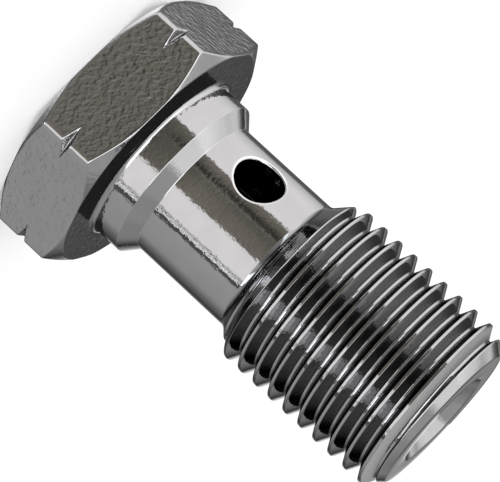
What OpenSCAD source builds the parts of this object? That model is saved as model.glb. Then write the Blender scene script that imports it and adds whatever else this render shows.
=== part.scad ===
// Banjo bolt: a hollow hexagon bolt that clamps a ring fitting and carries its fluid.
// One turned piece. It stands on the top of its head: z = 0 is that face, +Z runs along the
// shank to the open tip, and the cross hole lies along X, in line with two corners of the hexagon.

/* [Head] */
// Hexagon, across flats
across_flats = 13.45; // [12.5:0.05:17]
// Height of the head
head_h = 4.16; // [3.4:0.02:8]
// Slope of the chamfers on both ends of the head, from the end faces
chamfer_angle = 33; // [15:1:42]
// How much wider than the flats the chamfer circles are, on the diameter
chamfer_over = 0.12; // [0.02:0.02:0.4]
// Depth, below the corners, of the groove turned round the middle of the head
groove_depth = 0.47; // [0.2:0.01:0.8]
// Angle between the sides of that groove
groove_angle = 60; // [40:5:90]

/* [Collar and neck] */
// Diameter of the collar that centres the ring fitting
collar_d = 9.48; // [8.8:0.02:11]
// Length of the collar, from the head's underside
collar_len = 1.64; // [1:0.02:2.4]
// Length of the cone from the collar down to the neck
taper_len = 0.72; // [0.3:0.02:1.2]
// Diameter of the neck
neck_d = 7.88; // [7.2:0.02:8.4]
// Length of the neck, from the cone to the threaded end
neck_len = 5.84; // [5:0.02:10]
// Radius of the fillet between the collar and the head
head_fillet = 0.22; // [0.05:0.01:0.4]

/* [Thread] */
// Major diameter of the thread
thread_d = 10; // [9:0.1:12]
// Axial distance from one crest to the next
thread_pitch = 1; // [0.9:0.05:1.5]
// Depth of the thread, from crest to root
thread_depth = 0.66; // [0.45:0.01:0.68]
// Width of the flat left on the crest
crest_flat = 0.12; // [0.04:0.01:0.15]
// Angle between the flanks
flank_angle = 60; // [40:1:60]
// Length of the threaded end, with its run-out cone and its tip chamfer
thread_len = 11; // [8:0.1:16]
// Direction, round from +X, in which a crest lies level with the start of the threaded end
thread_start = 74; // [0:1:360]
// Diameter of the flat end face, inside the tip chamfer
tip_d = 8.26; // [7.6:0.02:8.6]
// Slope of the run-out cone and of the tip chamfer, from the axis
end_slope = 45; // [35:1:55]
// Radius of the fillet between the neck and the run-out cone
runout_fillet = 0.5; // [0.2:0.05:1]

/* [Passages] */
// Diameter of the passage along the axis
bore_d = 3.2; // [2.7:0.05:4.4]
// How far the full diameter runs on past the cross hole
bore_past_cross = 0.4; // [0.1:0.05:1]
// Angle of the point that the drill leaves
drill_angle = 118; // [90:1:140]
// Diameter of the countersink at the mouth of the passage
mouth_d = 5.4; // [4.8:0.05:6.4]
// Angle between the sides of that countersink
mouth_angle = 90; // [60:5:120]
// Diameter of the cross hole
cross_d = 2.6; // [1.5:0.05:2.65]
// Distance from the head's underside to the centre of the cross hole
cross_from_head = 5.12; // [4.6:0.02:6.4]
// Depth of the edge break on the rims of the cross hole
cross_break = 0.1; // [0.02:0.01:0.2]

/* [Hidden] */
$fn = 96;
// Steps in one turn of the thread, and chords in each fillet
turn_steps = 60;
arc_steps = 6;
// How far a cutting shape runs on past what it cuts
lap = 0.5;

corner_r = across_flats / sqrt(3);
chamfer_r = (across_flats + chamfer_over) / 2;
groove_r = corner_r - groove_depth;
collar_r = collar_d / 2;
neck_r = neck_d / 2;
thread_r = thread_d / 2;
root_r = thread_r - thread_depth;
tip_r = tip_d / 2;
bore_r = bore_d / 2;
mouth_r = mouth_d / 2;
cross_r = cross_d / 2;

collar_z = head_h + collar_len;
neck_z = collar_z + taper_len;
thread_z = neck_z + neck_len;
tip_z = thread_z + thread_len;
cross_z = head_h + cross_from_head;
bore_z = cross_z - cross_r - bore_past_cross;
// The neck's fillet starts this far before the threaded end
bend = runout_fillet * tan(end_slope / 2);

// One pitch of the thread, crest first, as [share of the pitch along the axis, radius]
crest_share = crest_flat / thread_pitch;
flank_share = thread_depth * tan(flank_angle / 2) / thread_pitch;
PROFILE = [
    [-crest_share / 2, thread_r],
    [crest_share / 2, thread_r],
    [crest_share / 2 + flank_share, root_r],
    [1 - crest_share / 2 - flank_share, root_r]
];
profile_n = len(PROFILE);
// The rod that the thread is cut on starts two pitches before the threaded end and runs on past it
rod_z = thread_z - 2 * thread_pitch;
rod_rows = profile_n * (ceil(thread_len / thread_pitch) + 4);

// Point of the rod's surface: row counts profile points along the axis, step goes round it
function rod_point(row, step) =
    let (p = PROFILE[row % profile_n], turn = step / turn_steps, a = thread_start + 360 * turn)
    [p[1] * cos(a), p[1] * sin(a), rod_z + thread_pitch * (floor(row / profile_n) + p[0] + turn)];

// Place of that point in the list. One whole turn on, the same row is a pitch further along
function rod_index(row, step) = step == turn_steps ? rod_index(row + profile_n, 0) : row * turn_steps + step;

// Points of an arc round a centre, from one direction to another, without its first point
function arc(centre, r, from, to) =
    [for (i = [1:arc_steps]) let (a = from + (to - from) * i / arc_steps) centre + r * [cos(a), sin(a)]];

// Rod with a right-hand thread, each end closed by a fan round a point on the axis
module threaded_rod() {
    points = [for (row = [0:rod_rows + profile_n], step = [0:turn_steps - 1]) rod_point(row, step)];
    low = len(points);
    high = low + 1;
    sides = [for (row = [0:rod_rows - 1], step = [0:turn_steps - 1]) each [
        [rod_index(row, step), rod_index(row + 1, step), rod_index(row + 1, step + 1)],
        [rod_index(row, step), rod_index(row + 1, step + 1), rod_index(row, step + 1)]
    ]];
    low_end = [
        for (step = [0:turn_steps - 1]) [low, rod_index(0, step), rod_index(0, step + 1)],
        for (row = [0:profile_n - 1]) [low, rod_index(row + 1, 0), rod_index(row, 0)]
    ];
    high_end = [
        for (step = [0:turn_steps - 1]) [high, rod_index(rod_rows, step + 1), rod_index(rod_rows, step)],
        for (row = [rod_rows:rod_rows + profile_n - 1]) [high, rod_index(row, 0), rod_index(row + 1, 0)]
    ];
    axis_points = [[0, 0, rod_z], [0, 0, rod_point(rod_rows, turn_steps)[2]]];
    polyhedron(
        points = concat(points, axis_points),
        faces = concat(sides, low_end, high_end),
        convexity = 10);
}

// Shank as it is turned, before the thread is cut: from inside the head to the tip.
// The first chord of the fillet at its foot runs on down into the head
module turned_blank() {
    foot_r = collar_r + head_fillet;
    clear_r = thread_r + lap;
    rotate_extrude()
        polygon(concat(
            [
                [0, head_h - lap],
                [foot_r + lap, head_h - lap],
                [foot_r + lap, head_h - lap * tan(45 / arc_steps)]
            ],
            arc([foot_r, head_h + head_fillet], head_fillet, 270, 180),
            [[collar_r, collar_z], [neck_r, neck_z], [neck_r, thread_z - bend]],
            arc([neck_r + runout_fillet, thread_z - bend], runout_fillet, 180, 180 - end_slope),
            [
                [clear_r, thread_z + (clear_r - neck_r) / tan(end_slope)],
                [clear_r, tip_z - (clear_r - tip_r) / tan(end_slope)],
                [tip_r, tip_z],
                [0, tip_z]
            ]));
}

// The blank keeps its whole section as far as the threaded end, and there the thread's
module shank() {
    intersection() {
        turned_blank();
        union() {
            cylinder(r = corner_r, h = thread_z);
            threaded_rod();
        }
    }
}

// Hexagon chamfered on both ends, with the groove that cuts only its corners
module head() {
    rim_r = corner_r + lap;
    rim_h = (rim_r - chamfer_r) * tan(chamfer_angle);
    groove_h = (rim_r - groove_r) * tan(groove_angle / 2);
    difference() {
        intersection() {
            translate([0, 0, -lap])
                cylinder(r = corner_r, h = head_h + 2 * lap, $fn = 6);
            rotate_extrude()
                polygon([
                    [0, 0], [chamfer_r, 0], [rim_r, rim_h],
                    [rim_r, head_h - rim_h], [chamfer_r, head_h], [0, head_h]
                ]);
        }
        rotate_extrude()
            polygon([
                [groove_r, head_h / 2],
                [rim_r, head_h / 2 - groove_h],
                [rim_r, head_h / 2 + groove_h]
            ]);
    }
}

// Blind passage from the tip: drill point, bore and countersink
module axial_passage() {
    slope = tan(mouth_angle / 2);
    rotate_extrude()
        polygon([
            [0, bore_z - bore_r / tan(drill_angle / 2)],
            [bore_r, bore_z],
            [bore_r, tip_z - (mouth_r - bore_r) / slope],
            [mouth_r + lap * slope, tip_z + lap],
            [0, tip_z + lap]
        ]);
}

// Cross hole through both walls of the neck, with an edge break on each rim
module cross_passage() {
    end = neck_r + lap;
    end_r = cross_r + cross_break + lap;
    rim = neck_r - cross_break;
    translate([0, 0, cross_z])
        rotate([0, 90, 0])
            rotate_extrude()
                polygon([[0, -end], [end_r, -end], [cross_r, -rim], [cross_r, rim], [end_r, end], [0, end]]);
}

module banjo_bolt() {
    color([0.52, 0.51, 0.5])
        difference() {
            union() {
                head();
                shank();
            }
            axial_passage();
            cross_passage();
        }
}

banjo_bolt();
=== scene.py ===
import math

import bpy
import numpy as np
from mathutils import Matrix, Vector


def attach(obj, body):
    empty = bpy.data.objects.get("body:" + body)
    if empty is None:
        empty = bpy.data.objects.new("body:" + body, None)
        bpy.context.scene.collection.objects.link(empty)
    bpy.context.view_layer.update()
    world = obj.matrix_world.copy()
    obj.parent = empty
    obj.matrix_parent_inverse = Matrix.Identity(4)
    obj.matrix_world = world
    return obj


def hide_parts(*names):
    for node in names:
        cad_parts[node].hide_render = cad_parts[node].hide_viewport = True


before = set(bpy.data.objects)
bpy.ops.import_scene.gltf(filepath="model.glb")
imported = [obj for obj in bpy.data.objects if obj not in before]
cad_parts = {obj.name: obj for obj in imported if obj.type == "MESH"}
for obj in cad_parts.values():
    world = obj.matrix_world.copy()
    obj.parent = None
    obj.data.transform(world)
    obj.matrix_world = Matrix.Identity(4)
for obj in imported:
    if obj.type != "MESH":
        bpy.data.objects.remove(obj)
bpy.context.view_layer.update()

# THE BOLT
# One hollow bolt of plated steel, with a hexagon head and a shank that is turned, threaded and drilled. It
# screws into a port through the eye of a ring fitting, and fluid runs between its tip and its cross hole.
# It stands on its head, and is made here in millimetres, which become metres in the mesh.


class Skin:
    """The bolt's surface while it is made: its points, and its faces as rows of four point numbers."""

    def __init__(self):
        self.points, self.faces, self.count = [], [], 0

    def add(self, points):
        """Adds an array of points, and gives back their numbers in the same rows and columns."""
        numbers = self.count + np.arange(points[..., 0].size).reshape(points.shape[:-1])
        self.points.append(points.reshape(-1, 3))
        self.count += numbers.size
        return numbers

    def sheet(self, numbers, closed=True, leave=None):
        """Faces between the neighbours in a grid of point numbers. A closed grid's last column is joined to
        its first, and the faces that leave marks are left open."""
        if closed:
            numbers = np.column_stack([numbers, numbers[:, 0]])
        faces = np.stack([numbers[:-1, :-1], numbers[:-1, 1:], numbers[1:, 1:], numbers[1:, :-1]], axis=-1)
        self.faces.append(faces.reshape(-1, 4) if leave is None else faces[~leave])

    def zip(self, one, one_turn, two, two_turn):
        """Triangles between two closed rings of different numbers of points, whose directions rise from 0.
        Going round, each side of a ring is joined to the point of the other ring that was passed last."""
        last_two = np.searchsorted(two_turn, one_turn, side="left") - 1
        last_one = np.searchsorted(one_turn, two_turn, side="right") - 1
        self.faces.append(np.stack([np.roll(one, 1), one, two[last_two], two[last_two]], axis=-1))
        self.faces.append(np.stack([np.roll(two, 1), one[last_one], two, two], axis=-1))

    def fan(self, ring, tip):
        """Triangles from a closed ring to one point."""
        self.faces.append(np.stack([ring, np.roll(ring, -1), tip + 0 * ring, tip + 0 * ring], axis=-1))


def smooth_max(a, b, width):
    """The larger of two distances, with the corner between them rounded: where they differ by less than the
    width, the square of what is missing, over four times the width, is added."""
    missing = np.maximum(width - np.abs(a - b), 0)
    return np.maximum(a, b) + missing * missing / (4 * width)


def smooth_min(a, b, width):
    """The smaller of two distances, with the corner between them rounded as in smooth_max."""
    return -smooth_max(-a, -b, width)


def polar(r, turn, z):
    """Points at a distance r from the axis, in the direction turn from +X, at the height z."""
    r, turn, z = np.broadcast_arrays(r, turn, z)
    return np.stack([r * np.cos(turn), r * np.sin(turn), z], axis=-1)


def rounded(corners, chords=6):
    """Outline through corners (r, z, radius). Each radius becomes an arc that touches both sides: its ends
    lie the radius over the tangent of the half angle from the corner, and the points between them are
    turned from one end to the other about the centre."""
    out = []
    for i, (r, z, radius) in enumerate(corners):
        p = np.array([r, z])
        if not radius:
            out.append(p)
            continue
        u, v = (np.array(corners[j][:2]) - p for j in (i - 1, i + 1))
        u, v = u / np.linalg.norm(u), v / np.linalg.norm(v)
        half = math.acos(u @ v) / 2
        centre = p + (u + v) / np.linalg.norm(u + v) * radius / math.sin(half)
        a, b = (p + side * radius / math.tan(half) - centre for side in (u, v))
        swing = math.pi - 2 * half
        out += [centre + (math.sin(swing * (1 - f)) * a + math.sin(swing * f) * b) / math.sin(swing)
                for f in np.linspace(0, 1, chords + 1)]
    return np.array(out)


bolt = Skin()

# Head: the hexagon, its two chamfers and the groove that nicks its corners, with worn edges
HALF_FLATS, HEAD_H = 6.725, 4.16
CHAMFER_R, CHAMFER = 6.785, math.radians(33)
GROOVE_R, GROOVE, GROOVE_TIP = 7.295, math.radians(30), 0.02
CORNER_WEAR, CHAMFER_WEAR, FACE_WEAR, GROOVE_WEAR = 0.19, 0.055, 0.03, 0.05
CORNER_COLUMNS = 44


def past_head(phi, r, z):
    """How far a point lies outside the head: the largest of its distances past the two flats that meet at
    the nearest corner, phi round from it, past the cones of the chamfers, past the end faces, and out of
    the metal into the V of the groove."""
    flats = smooth_max(r * np.cos(phi - math.pi / 6), r * np.cos(phi + math.pi / 6), CORNER_WEAR) - HALF_FLATS
    cone = (r - CHAMFER_R) * math.sin(CHAMFER)
    low, high = cone - z * math.cos(CHAMFER), cone - (HEAD_H - z) * math.cos(CHAMFER)
    groove = (r - GROOVE_R) * math.sin(GROOVE) - np.hypot(z - HEAD_H / 2, GROOVE_TIP) * math.cos(GROOVE)
    body = smooth_max(flats, np.maximum(low, high), CHAMFER_WEAR)
    body = smooth_max(body, np.maximum(-z, z - HEAD_H), FACE_WEAR)
    return smooth_max(body, groove, GROOVE_WEAR)


# The columns are closest at the corners' edges. phi is the direction from the nearest corner
near = np.linspace(-1, 1, CORNER_COLUMNS + 1)[:-1]
head_turn = (np.arange(6)[:, None] * math.pi / 3 + math.pi / 6 * np.sign(near) * np.abs(near) ** 1.5).ravel()
head_turn = np.sort(head_turn % (2 * math.pi))
phi = (head_turn + math.pi / 6) % (math.pi / 3) - math.pi / 6
# Rays from a ring inside the head find its surface. Their rows crowd in bands along the edges, which are
# marked here in degrees up from the ring's own plane
RING_R, BAND, NICK_BAND, LEAST_NICK, LEAST_WALL = 5.4, 2.4, 2, 2.5, 5
hexagon_r = HALF_FLATS / np.cos(math.pi / 6 - np.abs(phi))
over = np.maximum(hexagon_r - CHAMFER_R, 0) * math.tan(CHAMFER)
edge = np.degrees(np.arctan2(HEAD_H / 2, np.minimum(hexagon_r, CHAMFER_R) - RING_R))
brow = np.minimum(np.degrees(np.arctan2(HEAD_H / 2 - over, hexagon_r - RING_R)), edge - LEAST_WALL)
nick = np.degrees(np.arctan2(np.maximum(hexagon_r - GROOVE_R, 0) * math.tan(GROOVE), hexagon_r - RING_R))
nick = np.maximum(nick, LEAST_NICK)
marks = [90 + 0 * phi, edge + BAND, edge - BAND, brow + BAND, brow - BAND, nick + NICK_BAND, nick - NICK_BAND]
marks = [-m for m in marks] + marks[::-1]
rows_between = [3, 8, 4, 8, 4, 6, 6, 6, 4, 8, 4, 8, 3]
rays = [a + (b - a) * np.linspace(0, 1, n, endpoint=False)[:, None]
        for a, b, n in zip(marks, marks[1:], rows_between)]
rays = np.radians(np.vstack(rays + [marks[-1][None]]))
low, high = np.full(rays.shape, 0.5), np.full(rays.shape, 4.0)
for _ in range(36):
    half_way = (low + high) / 2
    outside = past_head(phi, RING_R + half_way * np.cos(rays), HEAD_H / 2 + half_way * np.sin(rays)) > 0
    low, high = np.where(outside, low, half_way), np.where(outside, half_way, high)
head = bolt.add(polar(RING_R + low * np.cos(rays), head_turn, HEAD_H / 2 + low * np.sin(rays)))
bolt.sheet(head)
bolt.fan(head[0, ::-1], bolt.add(np.zeros((1, 3)))[0])

# Collar, cone and neck: turned to one outline, with the edges just broken. Round each mouth of the cross
# hole, at +X and -X, a window of ACROSS columns and UP rows is left open
COLLAR_R, COLLAR_Z, COLLAR_FILLET, COLLAR_WEAR = 4.74, 5.80, 0.28, 0.07
NECK_R, NECK_Z, NECK_FILLET = 3.94, 6.52, 0.1
THREAD_Z, TIP_Z = 12.36, 23.36
CROSS_R, CROSS_Z = 1.30, 9.28
CREST_R, ROOT_R, PITCH, CREST_HALF, FLANK = 5.0, 4.34, 1.0, 0.075, 1.85
FIRST_CREST = THREAD_Z - PITCH * 90 / 360
COLUMNS, ACROSS, UP, WINDOW = 168, 24, 22, 1.75

turn = np.arange(COLUMNS) * 2 * math.pi / COLUMNS
below = rounded([(5.2, HEAD_H, 0), (COLLAR_R, HEAD_H, COLLAR_FILLET), (COLLAR_R, COLLAR_Z, COLLAR_WEAR),
                 (NECK_R, NECK_Z, NECK_FILLET), (NECK_R, CROSS_Z - WINDOW, 0)])
beside = np.column_stack([np.full(UP, NECK_R), np.linspace(CROSS_Z - WINDOW, CROSS_Z + WINDOW, UP + 1)[1:]])
above = [(NECK_R, 11.6), (NECK_R, 11.9), (NECK_R, FIRST_CREST)]
outline = np.vstack([below, beside, above])
shank = bolt.add(polar(outline[:, :1], turn, outline[:, 1:]))
bolt.zip(head[-1], head_turn, shank[0], turn)
row, column = np.indices((len(outline) - 1, COLUMNS))
column = (column + ACROSS // 2) % (COLUMNS // 2)
bolt.sheet(shank, leave=(row >= len(below) - 1) & (row < len(below) - 1 + UP) & (column < ACROSS))

# Threaded end. The blank's run-out cone and tip chamfer, both at 45 degrees, cut the thread off at its ends
TIP_R, RUN_OUT_FILLET = 4.13, 0.5
CREST_WEAR, ROOT_WEAR, END_WEAR = 0.025, 0.015, 0.06
blank = rounded([(NECK_R, 11, 0), (NECK_R, THREAD_Z, RUN_OUT_FILLET),
                 (CREST_R + 1, THREAD_Z + CREST_R + 1 - NECK_R, 0)], 10)


def threaded_radius(turn, z):
    """Distance of the threaded end from the axis. The crest climbs one pitch a turn. Past its half width,
    the thread falls on both sides by FLANK times the distance along the axis, as far as the root, and is
    then held inside the cone of the run-out and the chamfer of the tip."""
    along = (z - FIRST_CREST) / PITCH - turn / (2 * math.pi)
    along = PITCH * np.abs(along - np.round(along))
    thread = smooth_min(CREST_R + 0.0 * z, CREST_R - (along - CREST_HALF) * FLANK, CREST_WEAR)
    thread = smooth_max(thread, ROOT_R + 0.0 * z, ROOT_WEAR)
    run_out = np.interp(z, blank[:, 1], blank[:, 0])
    return smooth_min(smooth_min(thread, run_out, END_WEAR), TIP_R + TIP_Z - z, END_WEAR)


# Rows follow the crest round the bolt, so one turn on, a row meets the row that is a pitch further up.
# Below the first turn and above the last one, they spread like a fan from one point to a whole pitch. The
# shares of a pitch at which they lie are closest where the flank meets the crest and the root
share = np.array([.05, .065, .074, .084, .10, .14, .19, .24, .29, .34, .39, .422, .431, .440])
share = np.concatenate([share, [.46], 1 - share[::-1]])
PITCHES = 10
lap = np.append(turn, 2 * math.pi) / (2 * math.pi)
stage = np.append((np.arange(-1, PITCHES + 1)[:, None] + share).ravel(), PITCHES + 1)[:, None]
climb = np.where(stage < 0, (stage + 1) * lap, stage + lap)
climb = np.where(stage > PITCHES, PITCHES + lap + (stage - PITCHES) * (1 - lap), climb)
z = FIRST_CREST + PITCH * climb
thread = np.empty(z.shape, int)
first = len(share)
main_z = z[1:, 1:-1]
thread[1:, 1:-1] = bolt.add(polar(threaded_radius(lap[1:-1] * 2 * math.pi, main_z), turn[1:], main_z))
thread[first + 1:, 0] = bolt.add(polar(threaded_radius(0.0, z[first + 1:, 0]), 0.0, z[first + 1:, 0]))
thread[0, :-1] = shank[-1]
thread[:first + 1, 0] = shank[-1, 0]
thread[:, -1] = thread[np.minimum(np.arange(len(z)) + first, len(z) - 1), 0]
bolt.sheet(thread, closed=False)

# Tip: the last of the chamfer, and the end face
TIP_WEAR = 0.14
chamfer_z = z[-1, 0]
end = rounded([(TIP_R + TIP_Z - chamfer_z, chamfer_z, 0), (TIP_R, TIP_Z, TIP_WEAR), (3.6, TIP_Z, 0)])[1:]
end = bolt.add(polar(end[:, :1], turn, end[:, 1:]))
bolt.sheet(np.vstack([thread[-1, :-1], end]))

# Passage: drilled from the tip, with a countersink at its mouth and the drill's point of 118 degrees at its
# blind end. Its columns are closest at the two windows of the cross hole
BORE_R, BORE_PAST, MOUTH_R = 1.60, 0.4, 2.70
POINT_R, POINT_SHORT, POINT_DEEP = 0.3, 0.781, 0.961
MOUTH_WEAR, THROAT_WEAR, POINT_WEAR = 0.08, 0.1, 0.02
BORE_COLUMNS, BORE_WINDOW = 64, 1.6
bore_z = CROSS_Z - CROSS_R - BORE_PAST
half = BORE_COLUMNS // 2
stations = [0, ACROSS // 2, half - ACROSS // 2, half]
half_round = np.radians(np.interp(np.arange(half), stations, [0, 70, 110, 180]))
bore_turn = np.concatenate([half_round, half_round + math.pi])
throat = rounded([(3.3, TIP_Z, 0), (MOUTH_R, TIP_Z, MOUTH_WEAR),
                  (BORE_R, TIP_Z - MOUTH_R + BORE_R, THROAT_WEAR), (BORE_R, 18, 0)])
throat = np.vstack([throat, [(BORE_R, 14), (BORE_R, 11.2)]])
beside = np.linspace(CROSS_Z + BORE_WINDOW, CROSS_Z - BORE_WINDOW, UP + 1)
beside = np.column_stack([np.full(UP + 1, BORE_R), beside])
point = rounded([(BORE_R, CROSS_Z - BORE_WINDOW, 0), (BORE_R, bore_z, POINT_WEAR),
                 (POINT_R, bore_z - POINT_SHORT, 0)], 2)[1:]
passage = np.vstack([throat, beside, point])
bore = bolt.add(polar(passage[:, :1], bore_turn, passage[:, 1:]))
bolt.zip(end[-1], turn, bore[0], bore_turn)
bolt.fan(bore[-1], bolt.add(np.array([[0, 0, bore_z - POINT_DEEP]]))[0])
row, column = np.indices((len(passage) - 1, BORE_COLUMNS))
column = (column + ACROSS // 2) % half
bolt.sheet(bore, leave=(row >= len(throat)) & (row < len(throat) + UP) & (column < ACROSS))

# Cross hole: rings lead from the edge of each window in the neck to the edge of the one in the passage
RIM, FOOT = 0.18, 0.04


def edge_of(numbers):
    """Point numbers round the edge of a grid, from its first corner along its first row."""
    return np.concatenate([numbers[0, :-1], numbers[:-1, -1], numbers[-1, :0:-1], numbers[:0:-1, 0]])


def mouth(side):
    """Adds one mouth of the cross hole, at +X for side 0 and at -X for side 1. A ring has a distance from the
    hole's axis, and lies as far out along the hole as the root of the neck's or the passage's radius squared
    less the square of the ring's distance sideways. The rim is a quarter circle from the neck down into the
    hole, and the foot is a smaller one from the hole out into the passage."""
    columns = np.arange(-(ACROSS // 2), ACROSS // 2 + 1)
    rows = np.arange(len(below) - 1, len(below) + UP)
    outer = edge_of(shank[np.ix_(rows, (columns + side * COLUMNS // 2) % COLUMNS)])
    rows = np.arange(len(throat) + UP, len(throat) - 1, -1)
    inner = edge_of(bore[np.ix_(rows, (columns + side * BORE_COLUMNS // 2) % BORE_COLUMNS)])
    points = np.vstack(bolt.points)
    flip = 1 - 2 * side
    y_out, v_out = points[outer, 1] * flip, points[outer, 2] - CROSS_Z
    y_in, v_in = points[inner, 1] * flip, points[inner, 2] - CROSS_Z
    angle = np.arctan2(v_out, y_out)
    c, s = np.cos(angle), np.sin(angle)

    def ring(reach, radius, lift=0.0):
        """A ring on a cylinder of that radius, and lifted off it."""
        return reach * c, reach * s, np.sqrt(radius**2 - (reach * c) ** 2) + lift

    out = [ring(np.hypot(y_out, v_out) * (1 - f) + (CROSS_R + RIM) * f, NECK_R)
           for f in np.linspace(0, 1, 7)[1:-1] ** 0.8]
    out += [ring(CROSS_R + RIM * (1 - math.sin(a)), NECK_R, -RIM * (1 - math.cos(a)))
            for a in np.linspace(0, math.pi / 2, 8)]
    top = out[-1][2]
    foot = ring(CROSS_R, BORE_R, FOOT)[2]
    out += [(CROSS_R * c, CROSS_R * s, top * (1 - f) + foot * f) for f in (0.33, 0.67)]
    out += [ring(CROSS_R + FOOT * (1 - math.cos(a)), BORE_R, FOOT * (1 - math.sin(a)))
            for a in np.linspace(0, math.pi / 2, 4)]
    for f in (0.3, 0.65):
        y, v = ((CROSS_R + FOOT) * w * (1 - f) + w_in * f for w, w_in in ((c, y_in), (s, v_in)))
        out.append((y, v, np.sqrt(BORE_R**2 - y**2)))
    rings = np.array([[flip * x, flip * y, CROSS_Z + v] for y, v, x in out]).transpose(0, 2, 1)
    bolt.sheet(np.vstack([outer, bolt.add(rings), inner]))


mouth(0)
mouth(1)

# One closed mesh: points that no face uses are dropped, and a face with one corner twice is a triangle
used, faces = np.unique(np.vstack(bolt.faces), return_inverse=True)
faces = faces.reshape(-1, 4)
repeats = faces == np.roll(faces, -1, axis=1)
three = repeats.any(axis=1)
triangles = faces[three][~repeats[three]].reshape(-1, 3)
mesh = bpy.data.meshes.new("bolt_body")
mesh.from_pydata(np.vstack(bolt.points)[used] / 1000, [], faces[~three].tolist() + triangles.tolist())
mesh.polygons.foreach_set("use_smooth", np.ones(len(mesh.polygons), bool))
body = bpy.data.objects.new("bolt_body", mesh)
bpy.context.scene.collection.objects.link(body)


class Wire:
    """The output socket of a node in a shader. Arithmetic with wires and numbers adds Math nodes."""

    def __init__(self, tree, socket=None):
        self.tree, self.socket = tree, socket

    def node(self, kind, settings=None, inputs=None, out=0):
        """Adds a node of any kind: its settings first, then the values or wires of its inputs. The stops of a
        ramp are pairs of a place and a colour. Gives the wire of its output."""
        made = self.tree.nodes.new("ShaderNode" + kind)
        for name, value in (settings or {}).items():
            if name == "stops":
                ramp = made.color_ramp.elements
                for i, (place, colour) in enumerate(value):
                    stop = ramp[i] if i < 2 else ramp.new(place)
                    stop.position, stop.color = place, (*colour, 1)
            else:
                setattr(made, name, value)
        for name, value in (inputs or {}).items():
            if isinstance(value, Wire):
                value.feed(made.inputs[name])
            else:
                made.inputs[name].default_value = value
        return Wire(self.tree, made.outputs[out])

    def other(self, out):
        """Wire of another output of the same node."""
        return Wire(self.tree, self.socket.node.outputs[out])

    def feed(self, socket):
        """Links the wire to an input socket."""
        self.tree.links.new(self.socket, socket)

    def maths(self, operation, *values):
        """Wire of a Math node on the values."""
        return self.node("Math", {"operation": operation}, dict(enumerate(values)))

    def vector(self, operation, *values, out=0):
        """Wire of a Vector Math node on the values."""
        return self.node("VectorMath", {"operation": operation}, dict(enumerate(values)), out)

    def mix(self, colour, other):
        """The one colour where the wire is 0, and the other where it is 1."""
        return self.node("Mix", {"data_type": "RGBA"}, {"Factor": self, 6: colour, 7: other}, out=2)

    def step(self, low, high):
        """Rises smoothly from 0 to 1 as the wire goes from low to high."""
        return self.node("MapRange", {"interpolation_type": "SMOOTHSTEP"}, {0: self, 1: low, 2: high})

    def __add__(self, other):
        return self.maths("ADD", self, other)

    def __sub__(self, other):
        return self.maths("SUBTRACT", self, other)

    def __rsub__(self, other):
        return self.maths("SUBTRACT", other, self)

    def __mul__(self, other):
        return self.maths("MULTIPLY", self, other)

    def __truediv__(self, other):
        return self.maths("DIVIDE", self, other)

    def __rtruediv__(self, other):
        return self.maths("DIVIDE", other, self)

    __radd__, __rmul__ = __add__, __mul__


# Its finish: a bright thin plating. The flats and the seat have a dimpled skin like leather, the chamfers
# carry fine turning lines, and all of it has a faint grain
steel = bpy.data.materials.new("plated_steel")
steel.use_nodes = True
tree = steel.node_tree
shader = tree.nodes["Principled BSDF"]
wire = Wire(tree)
place = wire.node("TexCoord", out="Object")
height = wire.node("SeparateXYZ", inputs={0: place}, out="Z") * 1000
level_place = wire.vector("MULTIPLY", place, (1, 1, 0))
reach = wire.vector("LENGTH", level_place, out="Value") * 1000
around = wire.vector("NORMALIZE", level_place)
facing = wire.node("SeparateXYZ", inputs={0: wire.node("NewGeometry", out="Normal")}, out="Z")

on_shank = height.step(HEAD_H - 0.01, HEAD_H + 0.12)
seat = height.step(HEAD_H - 0.06, HEAD_H - 0.01)
past_chamfer = (reach - CHAMFER_R) * math.tan(CHAMFER)
past_chamfer = wire.maths("MAXIMUM", past_chamfer - height, past_chamfer - (HEAD_H - height))
end_face = height.step(TIP_Z - 0.05, TIP_Z - 0.02)
formed = (1 - on_shank) * (1 - past_chamfer.step(-0.25, -0.12)) * (1 - (1 - seat) * reach.step(7.58, 7.70))

SOLID = {"noise_dimensions": "3D"}
LEAN = (math.radians(-47), 0, math.radians(30))
lean = wire.node("Mapping", {"vector_type": "TEXTURE"},
                 {"Vector": place, "Rotation": LEAN, "Scale": (1, 1.35, 1)})
leather = wire.node("TexNoise", SOLID,
                    {"Vector": lean, "Scale": 4000.0, "Detail": 1.5, "Roughness": 0.5, "Distortion": 0.2})
grain = wire.node("TexNoise", SOLID, {"Vector": place, "Scale": 5500.0, "Detail": 1.0, "Roughness": 0.5})
lines = wire.node("TexNoise", SOLID, {"Vector": around, "Scale": 42.0, "Detail": 3.0, "Roughness": 0.7})
patches = wire.node("TexNoise", SOLID, {"Vector": place, "Scale": 900.0, "Detail": 2.0})
LEATHER, SEAT_LEATHER, GRAIN, LINES = 0.031, 0.014, 0.005, 0.006
relief = (leather - 0.5) * formed * (LEATHER - (LEATHER - SEAT_LEATHER) * seat)
relief = relief + grain * (GRAIN * (1 - 0.8 * end_face))
relief = relief + (lines - 0.5) * past_chamfer.step(-0.08, -0.03) * (1 - on_shank) * LINES
wire.node("Bump", {}, {"Height": relief, "Distance": 0.001, "Strength": 1.0}).feed(shader.inputs["Normal"])

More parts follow.
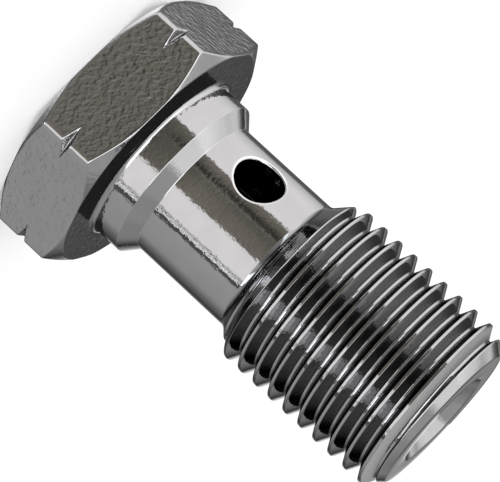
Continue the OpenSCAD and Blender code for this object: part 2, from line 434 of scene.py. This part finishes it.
# What faces the head shows dark in the photo: the flanks on that side, the run-out cone and the groove. So
# do the crests' shoulders, in part. The near-black coat mixed into the steel there is painted shade. The last
# flank before the tip's chamfer is matte and grey
under = facing.step(-0.17, -0.35)
threaded = (height - reach).step(THREAD_Z - NECK_R + 0.04, THREAD_Z - NECK_R + 0.12)
run_out = (1 - threaded) * height.step(THREAD_Z - 0.16, THREAD_Z + 0.14) * facing.step(-0.05, -0.3)
run_out = run_out * (1 - height.step(THREAD_Z + 1.14, THREAD_Z + 1.24))
groove = height.step(1.5, 1.7) * (1 - height.step(2.5, 2.7))
shoulder = facing.step(0.12, 0.25) * (1 - facing.step(0.80, 0.86))
shoulder = shoulder * reach.step(CREST_R - 0.12, CREST_R - 0.08)
shoulder = shoulder * height.step(12.0, 13.0) * (1 - height.step(22.2, 22.4))
painted_shade = under * (0.9 * threaded * on_shank + 0.7 * run_out + 0.8 * groove) + 0.55 * shoulder
corner = wire.node("SeparateXYZ", inputs={0: level_place})
turns = wire.maths("ARCTAN2", corner.other("Y"), corner) / (2 * math.pi)
crests_passed = (height - FIRST_CREST) / PITCH - turns
matte = facing.step(0.76, 0.84) * crests_passed.step(PITCHES + 0.02, PITCHES + 0.08)
matte = matte * height.step(22.0, 22.25) * (1 - height.step(23.0, 23.1))

# A painted highlight and painted shade: the broken edge of each mouth is given a paler tone, and the passage
# a near-black tone inside
passage_painted_shade = (1 - reach.step(3.2, 3.4)) * height.step(7, 7.5) * (1 - height.step(21.4, 22.3))
from_hole = wire.vector("SUBTRACT", place, (0, 0, CROSS_Z / 1000))
from_hole = wire.vector("LENGTH", wire.vector("MULTIPLY", from_hole, (0, 1, 1)), out="Value") * 1000
painted_rim_highlight = from_hole.step(CROSS_R + 0.02, CROSS_R + 0.06) * (1 - from_hole.step(CROSS_R + 0.13, CROSS_R + RIM))
painted_rim_highlight = painted_rim_highlight * reach.step(3.6, 3.65)

tone = patches.step(0.35, 0.65).mix((0.575, 0.567, 0.567, 1), (0.60, 0.593, 0.593, 1))
# Painted highlight on the edges of the mouths, and painted shade inside the passage
tone = painted_rim_highlight.mix(tone, (0.9, 0.9, 0.9, 1))
tone = passage_painted_shade.mix(tone, (0.07, 0.07, 0.07, 1))
matte.mix(tone, (0.36, 0.36, 0.36, 1)).feed(shader.inputs["Base Color"])
(1 - matte).feed(shader.inputs["Metallic"])
rough = 0.025 + 0.035 * (1 - on_shank) + 0.03 * formed * (1 - seat) + 0.02 * (patches - 0.5)
(rough + 0.06 * run_out + 0.4 * matte).feed(shader.inputs["Roughness"])
# The near-black coat that paints shade into the steel where it faces the head
dark = wire.node("BsdfDiffuse", inputs={"Color": (0.001, 0.001, 0.001, 1)})
finish_and_painted_shade = wire.node("MixShader", inputs={0: painted_shade, 1: Wire(tree, shader.outputs[0]), 2: dark})
finish_and_painted_shade.feed(tree.nodes["Material Output"].inputs[0])
mesh.materials.append(steel)
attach(body, "root")
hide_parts("banjo_bolt")

# THE CAMERA
# It stands 136 mm off, a little above the middle of the bolt, and is rolled so that the head is at the upper
# left and the tip at the lower right. The lens is given for a frame 500 pixels wide
ALPHA, RISE, ROLL = math.radians(41.196), math.radians(11.301), math.radians(42.7)
AWAY, AIM, ASIDE = 136.468, 10.372, 0.022
SENSOR = 36
away = Vector((math.cos(ALPHA) * math.cos(RISE), math.sin(ALPHA) * math.cos(RISE), math.sin(RISE)))
upright = (Vector((0, 0, 1)) - away.z * away).normalized()
leftward = away.cross(upright)
right = math.cos(ROLL) * upright + math.sin(ROLL) * leftward
up = -math.sin(ROLL) * upright + math.cos(ROLL) * leftward
camera = bpy.data.objects.new("photo_camera", bpy.data.cameras.new("photo_camera"))
bpy.context.scene.collection.objects.link(camera)
stand = Matrix((right, up, away)).transposed().to_4x4()
stand.translation = (Vector((0, 0, AIM)) + away * AWAY + leftward * ASIDE) / 1000
camera.matrix_world = stand
camera.data.sensor_width = SENSOR
camera.data.lens = 2763.5 * SENSOR / 500
camera.data.clip_start = 0.001
bpy.context.scene.camera = camera
bpy.context.scene.view_settings.view_transform = "Standard"

# THE FLOOR
# A wide sheet of white paper, which shows the bolt's soft shadow. A glow that only the camera sees keeps it
# white, and the steel mirrors the studio and not the floor
floor_mesh = bpy.data.meshes.new("floor")
floor_mesh.from_pydata([(-1, -1, 0), (1, -1, 0), (1, 1, 0), (-1, 1, 0)], [], [(0, 1, 2, 3)])
floor = bpy.data.objects.new("floor", floor_mesh)
bpy.context.scene.collection.objects.link(floor)
paper = bpy.data.materials.new("pale_paper")
paper.use_nodes = True
sheet = paper.node_tree.nodes["Principled BSDF"].inputs
sheet["Base Color"].default_value = (1, 1, 1, 1)
sheet["Roughness"].default_value = 1
sheet["Specular IOR Level"].default_value = 0
sheet["Emission Strength"].default_value = 1
(Wire(paper.node_tree).node("LightPath", out="Is Camera Ray") * 0.09).feed(sheet["Emission Color"])
floor_mesh.materials.append(paper)
floor.visible_glossy = False

# THE LIGHT
# A white studio. What the bolt mirrors is darker and has shape: rings of light and shade, one above the
# other, whose greys were worked out from what the bolt mirrors in the photo. Their directions are degrees
# round the bolt's axis: 0 is the camera's side, and 90 the upper right of the photo
world = bpy.data.worlds.new("studio")
world.use_nodes = True
bpy.context.scene.world = world
world.cycles.sampling_method = "NONE"
wire = Wire(world.node_tree)
x = wire.node("SeparateXYZ", inputs={0: wire.node("TexCoord", out="Generated")})
y, z = x.other("Y"), x.other("Z")
toward = x * math.cos(ALPHA) + y * math.sin(ALPHA)
across = x * math.sin(ALPHA) - y * math.cos(ALPHA)
round_about = wire.maths("ARCTAN2", across, toward) / (2 * math.pi) + 0.5
STEEL, TRIM = 0.585, 0.985
PALE = (205, 203, 204)


def ramp(pairs):
    """Ring of light over the directions round the bolt, from pairs of degrees and a colour."""
    stops = [(angle / 360 + 0.5, colour) for angle, colour in pairs]
    return wire.node("ValToRGB", {"stops": stops}, {0: round_about})


def light(*pairs):
    """Ring of light from pairs of degrees and the grey or colour, 0 to 255, that the steel is to show there
    on a screen. It is divided by a small trim, made linear, and divided by the share of light that steel
    gives back."""
    out = []
    for angle, tint in pairs:
        tint = np.array(tint if isinstance(tint, tuple) else (tint, tint, tint)) / 255 / TRIM
        linear = np.where(tint > 0.04045, ((tint + 0.055) / 1.055) ** 2.4, tint / 12.92) / STEEL
        out.append((angle, linear.tolist()))
    return ramp(out)


def past(low, high):
    """Rises smoothly from 0 to 1 as the direction goes from low to high, in degrees."""
    return round_about.step(0.5 + low / 360, 0.5 + high / 360)


# The level ring, and the ring below it. On the camera's side, a brown wall between two pale screens darkens
# upwards, and one streak crosses it
level = light(
    (-180, 205), (-160, 84), (-150, 44), (-130, 90), (-112, 130), (-66, 140), (-64.5, 72), (-59, 66),
    (-58, 240), (-57, 230), (-56, 80), (-55, 235), (-53.5, 80), (-52.5, 215), (-51, 110), (-49, PALE),
    (-14, PALE), (-12, (114, 109, 103)), (3, (107, 103, 96)), (14, (100, 97, 91)), (32, (98, 95, 89)),
    (42, (106, 102, 95)), (49, (114, 110, 104)), (51, PALE), (108, PALE), (122, 194), (138, 165),
    (141.5, 118), (146, 74))
low_down = light(
    (-180, 205), (-176, 190), (-172, 110), (-167, 50), (-164, 100), (-152, 105), (-145, 50), (-128, 22),
    (-115, 70), (-90, 122), (-70, 140), (-61, 130), (-59, (280, 288, 298)), (-39, (280, 288, 298)),
    (-36, 140), (-20, 150), (-12, 84), (4, 76), (16, 90), (38, 104), (40, (206, 211, 218)),
    (50, (206, 211, 218)), (52, 170), (60, 205), (73, 208), (107, 164), (130, 110), (142, 90), (152, 150),
    (162, 150), (172, 206))
wall = past(-20, -8) * (1 - past(46, 52))
shade = 1 - wall + wall * (0.12 + 1.2 * (1 - z.step(-0.50, 0.14)))
streak = ramp([(angle, (part, part, part)) for angle, part in (
    (10, 1), (18, 0.9), (22.5, 0.88), (24, 1.35), (25.3, 0.92), (27, 0.5), (29, 0.30), (32, 0.33), (37, 0.75),
    (42, 1))])
shade = shade * (1 + (1 - wire.maths("ABSOLUTE", z + 0.196).step(0.015, 0.055)) * (streak - 1))
look = z.step(-0.28, -0.42).mix(level, low_down)
look = wire.node("VectorMath", {"operation": "SCALE"}, {0: look, "Scale": shade})

# Above the level ring come a middle ring, a high ring, a bright box on the camera's side, and dusk behind
# the bolt. Straight down it is dark, and straight up it is bright on one side
middle = light(
    (-180, 115), (-160, 100), (-120, 128), (-62, 132), (-45, 150), (-20, 195), (-4, 190), (8, 100), (48, 92),
    (52, 208), (108, 208), (124, 196), (146, 178), (158, 150), (168, 110))
high_up = light(
    (-180, 70), (-168, 72), (-158, 95), (-140, 98), (-115, 127), (-90, 127), (-60, 131), (-40, 141), (0, 150),
    (30, 155), (55, 170), (75, 192), (95, 216), (124, 190), (133, 150), (142, 142), (152, 105), (163, 76))
look = z.step(0.05, 0.11).mix(look, middle)
look = z.step(0.45, 0.70).mix(look, high_up)
box = past(-42, -32) * (1 - past(60, 90))
box = box * (z + 0.3 * (1 - past(4, 12))).step(0.36, 0.42) * (1 - z.step(0.76, 0.80))
look = box.mix(look, (1.9, 1.9, 1.92, 1))
dusk = wire.maths("MAXIMUM", z * 0.9 - 0.125, 0.03)
behind = (0 - toward).step(0.70, 0.85) * z.step(0.11, 0.17) * (1 - z.step(0.3, 0.6))
look = behind.mix(look, wire.node("CombineXYZ", inputs={0: dusk, 1: dusk, 2: dusk * 1.03}))
look = z.step(-0.86, -0.92).mix(look, (0.070, 0.070, 0.073, 1))
overhead = across.step(-0.06, 0.12).mix((0.44, 0.44, 0.44, 1), (1.0, 1.0, 1.0, 1))
look = z.step(0.88, 0.92).mix(look, overhead)

# All but mirrored rays meet white. Light that reaches the camera from between two flanks of the thread has
# struck the steel twice or three times. It has rings of its own, two for twice, by how steeply it comes from
# below, and one for three times or more, so that the thread looks as it does in the photo
path = wire.node("LightPath")
struck = path.other("Glossy Depth")
look = path.other("Is Glossy Ray").mix((1, 1, 1, 1), look)
deep = light(
    (-150, 40), (-140, 11), (-135, 26), (-130, 59), (-125, 105), (-120, 137), (-110, 166), (-100, 183),
    (-80, 200), (-71, 178), (-69.5, 380), (-64, 430), (-58, (462, 468, 484)), (-43, (440, 448, 466)),
    (-41, 210), (-34, 170), (-20, 141), (0, 135), (20, (162, 158, 158)), (39, 194), (41, (334, 334, 342)),
    (48, 371), (75, 323), (105, 284), (118, 258), (125, 222), (140, 169), (160, 150))
shallow = light(
    (-150, 40), (-140, 11), (-135, 26), (-130, 59), (-125, 105), (-118, 140), (-60, 150), (-45, 270),
    (-8, 270), (4, 200), (12, 160), (60, 160), (112, 274), (125, 222), (140, 169), (160, 150))
thrice = light(
    (-150, 23), (-130, 70), (-115, 150), (-100, 205), (-78, 242), (-55, 252), (-53, 420),
    (-46, (440, 446, 460)), (-30, (410, 416, 430)), (-28, 200), (-16, 190), (0, 150), (8, 105), (16, 105),
    (29, 140), (31, (320, 320, 328)), (50, 365), (69, 373), (94, 352), (118, 300), (140, 200))
UNLIT = (0.03, 0.03, 0.03, 1)
twice = z.step(0.05, 0.20).mix(z.step(-0.35, -0.5).mix(shallow, deep), UNLIT)
look = (struck.step(1.4, 1.6) * (1 - struck.step(2.4, 2.6))).mix(look, twice)
look = struck.step(2.4, 2.6).mix(look, z.step(0.1, 0.25).mix(thrice, UNLIT))
look.feed(world.node_tree.nodes["Background"].inputs[0])
